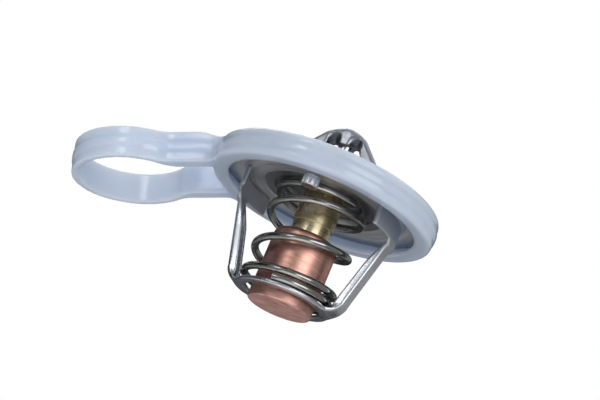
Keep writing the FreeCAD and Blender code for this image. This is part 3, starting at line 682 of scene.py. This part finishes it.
class ThermostatAddFlange(bpy.types.Operator):
    """Pressed flange with the valve seat"""
    bl_idname = "thermostat.add_flange"
    bl_label = "Flange"

    def execute(self, context):
        sheet = context.scene.thermostat_sheet
        piece = merged_copy("flange", "seat_flange")
        broken_edges(piece, sheet.edge)
        # Darker flange colour: painted shade.
        steel = sheet_steel("flange_shaded_steel", sheet.flange_shaded_steel, 0.66, 0.42, 1300.0, turned=True)
        finish_piece(piece, "frame", "stainless_sheet", steel, "flange")
        return {"FINISHED"}


class ThermostatAddYokes(bpy.types.Operator):
    """Bridge over the flange and frame with two legs below it"""
    bl_idname = "thermostat.add_yokes"
    bl_label = "Bridge and lower frame"

    def execute(self, context):
        sheet = context.scene.thermostat_sheet
        bridge = merged_copy("bridge", "piston_bridge")
        rebuilt(bridge, sheet.bridge_cell, BRIDGE_ROUNDS)

        def near_fold(place):
            """One within reach of a pressed fold, falling to nothing over a millimetre."""
            return 1.0 + (sheet.fold_reach - abs(abs(place.x) - sheet.fold_offset)) / MM

        softened(bridge, FOLD_ROUNDS, near_fold)
        # Darker bridge colour: painted shade.
        finish_piece(bridge, "frame", "stainless_sheet",
                     sheet_steel("bridge_shaded_steel", sheet.bridge_shaded_steel, 0.75, 0.24, 2600.0), "bridge")
        legs = merged_copy("lower_frame", "leg_frame")
        rebuilt(legs, sheet.leg_cell, LEG_ROUNDS)
        steel = sheet_steel("leg_steel", sheet.steel, 0.84, 0.21, 2600.0, painted_shade_ends=PAINTED_SHADE_ENDS)
        finish_piece(legs, "frame", "stainless_sheet", steel, "lower_frame")
        return {"FINISHED"}


class ThermostatAddSpring(bpy.types.Operator):
    """Coil spring with closed end turns and plain cut tips"""
    bl_idname = "thermostat.add_spring"
    bl_label = "Spring"

    def execute(self, context):
        spring = context.scene.thermostat_spring
        curve = bpy.data.curves.new("coil_spring", "CURVE")
        curve.dimensions = "3D"
        points = self.centre_line(spring)
        line = curve.splines.new("POLY")
        line.points.add(len(points) - 1)
        for point, place in zip(line.points, points):
            point.co = (*place, 1.0)
        curve.bevel_depth = spring.wire_radius
        curve.bevel_resolution = 6
        curve.use_fill_caps = True
        piece = bpy.data.objects.new("coil_spring", curve)
        context.scene.collection.objects.link(piece)
        only(piece)
        bpy.ops.object.convert(target="MESH")
        piece = bpy.context.object
        bpy.ops.object.mode_set(mode="EDIT")
        bpy.ops.mesh.select_all(action="SELECT")
        bpy.ops.mesh.remove_doubles(threshold=SAME_PLACE)
        bpy.ops.mesh.normals_make_consistent(inside=False)
        pick(piece, lambda edge: any(len(face.verts) > 4 for face in edge.link_faces))
        bpy.ops.mesh.bevel(offset=spring.tip_edge, segments=2, affect="EDGES")
        bpy.ops.object.mode_set(mode="OBJECT")
        smooth(piece)
        finish_piece(piece, "frame", "spring_steel", drawn_wire(spring.wire_colour), "spring")
        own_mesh(piece)
        return {"FINISHED"}

    def centre_line(self, spring):
        """Points along the middle of the wire, from the lower tip up."""
        low = SPRING_LOW.z + spring.wire_radius
        high = SPRING_HIGH.z - spring.wire_radius
        radius = SPRING_HIGH.x - spring.wire_radius
        closed = spring.bottom_turns + spring.top_turns
        total = closed + spring.active_turns
        steep_pitch = (high - low - spring.closed_pitch * closed) / spring.active_turns
        per_turn = 96
        steps = round(total * per_turn)

        def past(turn, edge):
            """Turns spent beyond edge, with the change of pitch spread out."""
            distance = turn - edge
            if abs(distance) >= spring.blend_turns:
                return max(distance, 0.0)
            return (distance + spring.blend_turns) ** 2 / (4 * spring.blend_turns)

        points = []
        for step in range(steps + 1):
            turn = total * step / steps
            steep = past(turn, spring.bottom_turns) - past(turn, spring.bottom_turns + spring.active_turns)
            height = low + spring.closed_pitch * (turn - steep) + steep_pitch * steep
            angle = spring.tip_angle + 2 * math.pi * turn
            points.append((radius * math.cos(angle), radius * math.sin(angle), height))
        return points


class ThermostatAddValve(bpy.types.Operator):
    """Dished valve disc and the ring that holds it on the guide"""
    bl_idname = "thermostat.add_valve"
    bl_label = "Valve disc"

    def execute(self, context):
        sheet = context.scene.thermostat_sheet
        ring_steel = (0.34, 0.34, 0.35)
        disc = merged_copy("valve_disc", "valve_plate")
        broken_edges(disc, sheet.disc_edge)
        # Darker disc colour: painted shade.
        steel = sheet_steel("disc_shaded_steel", sheet.disc_shaded_steel, 0.55, 0.24, 1500.0, turned=True)
        finish_piece(disc, "actuator", "stainless_sheet", steel, "valve_disc")
        ring = merged_copy("retaining_ring", "snap_ring")
        broken_edges(ring, sheet.disc_edge)
        finish_piece(ring, "actuator", "spring_steel",
                     turned_metal("snap_ring_steel", ring_steel, 0.7, 0.30, 2000.0), "retaining_ring")
        return {"FINISHED"}


class ThermostatAddGuide(bpy.types.Operator):
    """Turned brass body of the actuator"""
    bl_idname = "thermostat.add_guide"
    bl_label = "Guide"

    def execute(self, context):
        actuator = context.scene.thermostat_actuator
        piece = merged_copy("guide", "brass_guide")
        broken_edges(piece, context.scene.thermostat_sheet.disc_edge)
        finish_piece(piece, "actuator", "brass",
                     turned_metal("turned_brass", actuator.brass, 0.80, 0.20, 2200.0, depth=0.0015 * MM,
                                  tarnish=0.25), "guide")
        return {"FINISHED"}


class ThermostatAddCup(bpy.types.Operator):
    """Deep-drawn copper cup with a rounded shoulder"""
    bl_idname = "thermostat.add_cup"
    bl_label = "Cup"

    def execute(self, context):
        actuator = context.scene.thermostat_actuator
        radius = CUP_HIGH.x
        inner = radius - actuator.cup_wall
        under_shoulder = CUP_HIGH.z - actuator.cup_crimp
        ledge = CUP_HIGH.z - actuator.cup_seat
        chamber = inner - actuator.cup_ledge
        piece = lathe("copper_cup", [
            (radius, CUP_LOW.z, actuator.corner),
            (radius, CUP_HIGH.z, actuator.shoulder),
            (actuator.cup_mouth, CUP_HIGH.z, actuator.cup_mouth_round),
            (actuator.cup_mouth, under_shoulder, 0),
            (inner, under_shoulder, 0),
            (inner, ledge, 0),
            (chamber, ledge, 0),
            (chamber, CUP_LOW.z + actuator.cup_wall, 0),
        ])
        smooth(piece)
        finish_piece(piece, "actuator", "copper", drawn_copper(actuator.copper), "cup")
        return {"FINISHED"}


class ThermostatAddPiston(bpy.types.Operator):
    """Ground piston with broken tips"""
    bl_idname = "thermostat.add_piston"
    bl_label = "Piston"

    def execute(self, context):
        actuator = context.scene.thermostat_actuator
        piece = lathe("ground_piston", [
            (PISTON_HIGH.x, PISTON_LOW.z, actuator.piston_tip),
            (PISTON_HIGH.x, PISTON_HIGH.z, actuator.piston_tip),
        ], sides=64)
        smooth(piece)
        finish_piece(piece, "frame", "polished_steel",
                     turned_metal("ground_steel", actuator.bright_steel, 0.9, 0.14, 4200.0), "piston")
        return {"FINISHED"}


class ThermostatAddPin(bpy.types.Operator):
    """Vent pin with a ribbed head below the flange and a domed cap above it"""
    bl_idname = "thermostat.add_pin"
    bl_label = "Vent pin"

    def execute(self, context):
        actuator = context.scene.thermostat_actuator
        head = (PIN_HIGH.x - PIN_LOW.x) / 2
        middle = (PIN_LOW + PIN_HIGH) / 2
        middle.z = 0
        head_top = PIN_LOW.z + actuator.pin_head_height
        cap_low = PIN_HIGH.z - actuator.pin_cap_height
        piece = lathe("vent_pin_rivet", [
            (head, PIN_LOW.z, actuator.pin_head_edge),
            (head, head_top, actuator.pin_head_edge),
            (actuator.pin_neck, head_top, 0),
            (actuator.pin_neck, cap_low, 0),
            (actuator.pin_cap, cap_low, actuator.pin_cap_edge),
            (actuator.pin_cap, PIN_HIGH.z, actuator.pin_cap_round),
        ], sides=actuator.knurls * SIDES_PER_KNURL)
        only(piece)
        self.cut_knurls(piece, head, head_top, actuator)
        bpy.ops.object.mode_set(mode="EDIT")
        bpy.ops.mesh.select_all(action="SELECT")
        bpy.ops.transform.translate(value=middle)
        bpy.ops.object.mode_set(mode="OBJECT")
        smooth(piece, KNURL_SHARP)
        finish_piece(piece, "vent_pin", "plated_steel",
                     turned_metal("bright_plating", actuator.plating, 0.85, 0.20, 2600.0, centre=middle),
                     "jiggle_pin")
        return {"FINISHED"}

    def cut_knurls(self, piece, head, head_top, actuator):
        """Every second pair of upright edges of the head is drawn in, which leaves the ribs."""
        bpy.ops.object.mode_set(mode="EDIT")
        step = 2 * math.pi / (actuator.knurls * SIDES_PER_KNURL)

        def in_groove(edge):
            if any(vertex.co.z > head_top + SAME_PLACE for vertex in edge.verts):
                return False
            if any(vertex.co.xy.length < head - SAME_PLACE for vertex in edge.verts):
                return False
            sides = [round(math.atan2(vertex.co.y, vertex.co.x) / step) for vertex in edge.verts]
            return all(side % SIDES_PER_KNURL in (0, 1) for side in sides)

        pick(piece, in_groove)
        scale = 1 - actuator.knurl_depth / head
        bpy.ops.transform.resize(value=(scale, scale, 1), center_override=(0, 0, 0))
        bpy.ops.object.mode_set(mode="OBJECT")


class ThermostatFinishInside(bpy.types.Operator):
    """Materials of the wax, rubbers and washer inside the actuator"""
    bl_idname = "thermostat.finish_inside"
    bl_label = "Inner parts"

    def execute(self, context):
        rubber = context.scene.thermostat_rubber
        dark = dull_solid("dark_rubber", rubber.dark_rubber, 0.6)
        finishes = {
            "wax": dull_solid("filled_wax", rubber.wax, 0.5, 3000.0),
            "diaphragm": dark,
            "plug": dark,
            "piston_seal": dark,
            "backup_disc": dull_solid("hard_washer", rubber.washer, 0.35),
        }
        for node, material in finishes.items():
            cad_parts[node].data.materials.clear()
            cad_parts[node].data.materials.append(material)
        return {"FINISHED"}


class ThermostatAddStage(bpy.types.Operator):
    """Floor, surroundings, lamps, cards and camera"""
    bl_idname = "thermostat.add_stage"
    bl_label = "Stage"

    def execute(self, context):
        stage = context.scene.thermostat_stage
        context.scene.view_settings.view_transform = "Standard"
        self.add_floor(stage)
        self.set_world(context, stage)
        self.add_lamps(stage)
        self.add_cards(stage)
        self.add_camera(context, stage)
        return {"FINISHED"}

    def add_floor(self, stage):
        """Pale floor just under the cup's end, seen from above and clear to a camera below it."""
        bpy.ops.object.select_all(action="DESELECT")
        bpy.ops.mesh.primitive_plane_add(size=stage.floor_size,
                                         location=(0, 0, CAD_BOX[0][2] - stage.floor_gap))
        floor = bpy.context.object
        floor.name = "studio_floor"
        material, tree, shader, place = new_material("floor_paint")
        mottle = noise(tree, place, 3.0)
        paint = blend_colour(tree, mottle, opaque(stage.floor_colour, 0.99), opaque(stage.floor_colour))
        tree.links.new(paint, shader.inputs["Base Color"])
        shader.inputs["Roughness"].default_value = 0.8
        clear = tree.nodes.new("ShaderNodeBsdfTransparent").outputs[0]
        front = sums(tree, "SUBTRACT", 1.0, tree.nodes.new("ShaderNodeNewGeometry").outputs["Backfacing"])
        seen = sums(tree, "MULTIPLY", front, tree.nodes.new("ShaderNodeLightPath").outputs["Is Camera Ray"])
        mix = put(tree, "ShaderNodeMixShader", {0: seen, 1: clear, 2: shader.outputs[0]})
        tree.links.new(mix.outputs[0], surface_of(tree))
        floor.data.materials.append(material)

    def set_world(self, context, stage):
        """White background to the camera and in reflections, and a soft fill on the surfaces."""
        world = bpy.data.worlds.new("studio")
        world.use_nodes = True
        tree = world.node_tree
        tree.nodes.clear()
        path = tree.nodes.new("ShaderNodeLightPath").outputs
        seen = sums(tree, "MAXIMUM", path["Is Camera Ray"], path["Is Transmission Ray"])
        seen = sums(tree, "MAXIMUM", seen, path["Is Glossy Ray"])
        level = spread(tree, seen, 0.0, 1.0, stage.world_level, 1.0)
        light = put(tree, "ShaderNodeBackground", {"Color": (1, 1, 1, 1), "Strength": level}).outputs[0]
        put(tree, "ShaderNodeOutputWorld", {"Surface": light})
        context.scene.world = world

    def add_lamps(self, stage):
        """Large soft lamps that face the axis; at a level of one a surface shows its written colour."""
        for name, azimuth, elevation, distance, size, level in (
                ("key_lamp", -45, 10, 0.75, 0.48, stage.key_level),
                ("side_lamp", -110, 18, 0.60, 0.14, stage.side_level),
                ("rim_lamp", 150, 54, 0.80, 0.60, stage.rim_level),
                ("under_lamp", -75, -40, 0.70, 0.55, stage.under_level)):
            data = bpy.data.lights.new(name, "AREA")
            data.shape = "SQUARE"
            data.size = size
            data.energy = level * (math.pi * distance) ** 2
            lamp = bpy.data.objects.new(name, data)
            lamp.location = direction(azimuth, elevation) * distance
            lamp.rotation_euler = (-lamp.location).to_track_quat("-Z", "Y").to_euler()
            bpy.context.scene.collection.objects.link(lamp)

    def add_cards(self, stage):
        """Grey tent open at both ends, and dark cards in it, which draw the metal's shape."""
        bpy.ops.object.select_all(action="DESELECT")
        bpy.ops.mesh.primitive_cylinder_add(vertices=96, radius=stage.tent_radius, depth=stage.tent_height,
                                            end_fill_type="NOTHING", location=(0, 0, 0))
        tent = bpy.context.object
        tent.name = "tent"
        self.paint_felt(tent, stage.tent_grey, stage.tent_grey)
        for name, foot, azimuth, elevation, distance, size in (
                ("left_card", stage.card_grey, -165, 12, 0.55, (0.75, 0.60)),
                ("far_card", stage.card_grey, 148, 6, 0.50, (0.50, 0.44)),
                ("right_card", stage.card_grey, 102, 22, 0.50, (0.50, 0.36)),
                ("back_card", stage.card_foot, 111, -15, 0.30, (0.44, 0.30))):
            centre = direction(azimuth, elevation) * distance
            bpy.ops.object.select_all(action="DESELECT")
            bpy.ops.mesh.primitive_plane_add(size=1.0, location=centre)
            card = bpy.context.object
            card.name = name
            card.scale = (*size, 1)
            card.rotation_euler = centre.to_track_quat("-Z", "Y").to_euler()
            self.paint_felt(card, stage.card_grey, foot)

    def paint_felt(self, card, grey, foot):
        """Dull felt, seen in reflections only, with another grey below a soft line."""
        foot_high, foot_low = -0.17, -0.30
        material, tree, shader, place = new_material(card.name + "_felt")
        felt = noise(tree, place, 40.0)
        height = put(tree, "ShaderNodeSeparateXYZ", {0: place}).outputs[1]
        low = spread(tree, height, foot_high, foot_low)
        tone = blend_colour(tree, low, (grey, grey, grey, 1.0), (foot, foot, foot, 1.0))
        tree.links.new(blend_colour(tree, sums(tree, "MULTIPLY", felt, 0.3), tone, (grey, grey, grey, 1.0)),
                       shader.inputs["Base Color"])
        shader.inputs["Roughness"].default_value = 1.0
        shader.inputs["Specular IOR Level"].default_value = 0.0
        card.data.materials.append(material)
        card.visible_camera = False
        card.visible_diffuse = False
        card.visible_transmission = False
        card.visible_shadow = False

    def add_camera(self, context, stage):
        """Camera at the photograph's angle, below the flange and turned about its line of sight."""
        across, height = math.cos(stage.elevation), math.sin(stage.elevation)
        back = Vector((math.sin(stage.azimuth) * across, -math.cos(stage.azimuth) * across, height))
        level = Vector((math.cos(stage.azimuth), math.sin(stage.azimuth), 0))
        upright = back.cross(level)
        right = math.cos(stage.roll) * level + math.sin(stage.roll) * upright
        up = -math.sin(stage.roll) * level + math.cos(stage.roll) * upright
        place = back * stage.distance - right * stage.aside - up * stage.raised
        data = bpy.data.cameras.new("camera")
        data.lens = stage.lens
        data.sensor_width = 36.0
        camera = bpy.data.objects.new("camera", data)
        camera.matrix_world = Matrix.Translation(place) @ Matrix((right, up, back)).transposed().to_4x4()
        context.scene.collection.objects.link(camera)
        context.scene.camera = camera


def direction(azimuth, elevation):
    """Unit vector from the origin, with azimuth counted from +X in degrees."""
    level = math.cos(math.radians(elevation))
    return Vector((level * math.cos(math.radians(azimuth)), level * math.sin(math.radians(azimuth)),
                   math.sin(math.radians(elevation))))


OPERATORS = (
    ThermostatAddGasket, ThermostatAddFlange, ThermostatAddYokes, ThermostatAddSpring, ThermostatAddValve,
    ThermostatAddGuide, ThermostatAddCup, ThermostatAddPiston, ThermostatAddPin, ThermostatFinishInside,
    ThermostatAddStage,
)


class ThermostatPanel(bpy.types.Panel):
    """Lists the pieces and the sizes and colours they are made with"""
    bl_idname = "VIEW3D_PT_thermostat"
    bl_label = "Thermostat"
    bl_space_type = "VIEW_3D"
    bl_region_type = "UI"
    bl_category = "Thermostat"

    def draw(self, context):
        for operator in OPERATORS:
            self.layout.operator(operator.bl_idname)
        for name, settings in SETTINGS.items():
            box = self.layout.box()
            for key in settings.__annotations__:
                box.prop(getattr(context.scene, name), key)


SETTINGS = {
    "thermostat_rubber": ThermostatRubber,
    "thermostat_sheet": ThermostatSheet,
    "thermostat_spring": ThermostatSpring,
    "thermostat_actuator": ThermostatActuator,
    "thermostat_stage": ThermostatStage,
}


def register():
    for settings in SETTINGS.values():
        bpy.utils.register_class(settings)
    for name, settings in SETTINGS.items():
        setattr(bpy.types.Scene, name, PointerProperty(type=settings))
    for operator in OPERATORS:
        bpy.utils.register_class(operator)
    bpy.utils.register_class(ThermostatPanel)


def unregister():
    bpy.utils.unregister_class(ThermostatPanel)
    for operator in reversed(OPERATORS):
        bpy.utils.unregister_class(operator)
    for name in SETTINGS:
        delattr(bpy.types.Scene, name)
    for settings in reversed(SETTINGS.values()):
        bpy.utils.unregister_class(settings)


def main():
    register()
    pieces = bpy.ops.thermostat
    pieces.add_gasket()
    pieces.add_flange()
    pieces.add_yokes()
    pieces.add_spring()
    pieces.add_valve()
    pieces.add_guide()
    pieces.add_cup()
    pieces.add_piston()
    pieces.add_pin()
    pieces.finish_inside()
    pieces.add_stage()


if __name__ == "__main__":
    main()
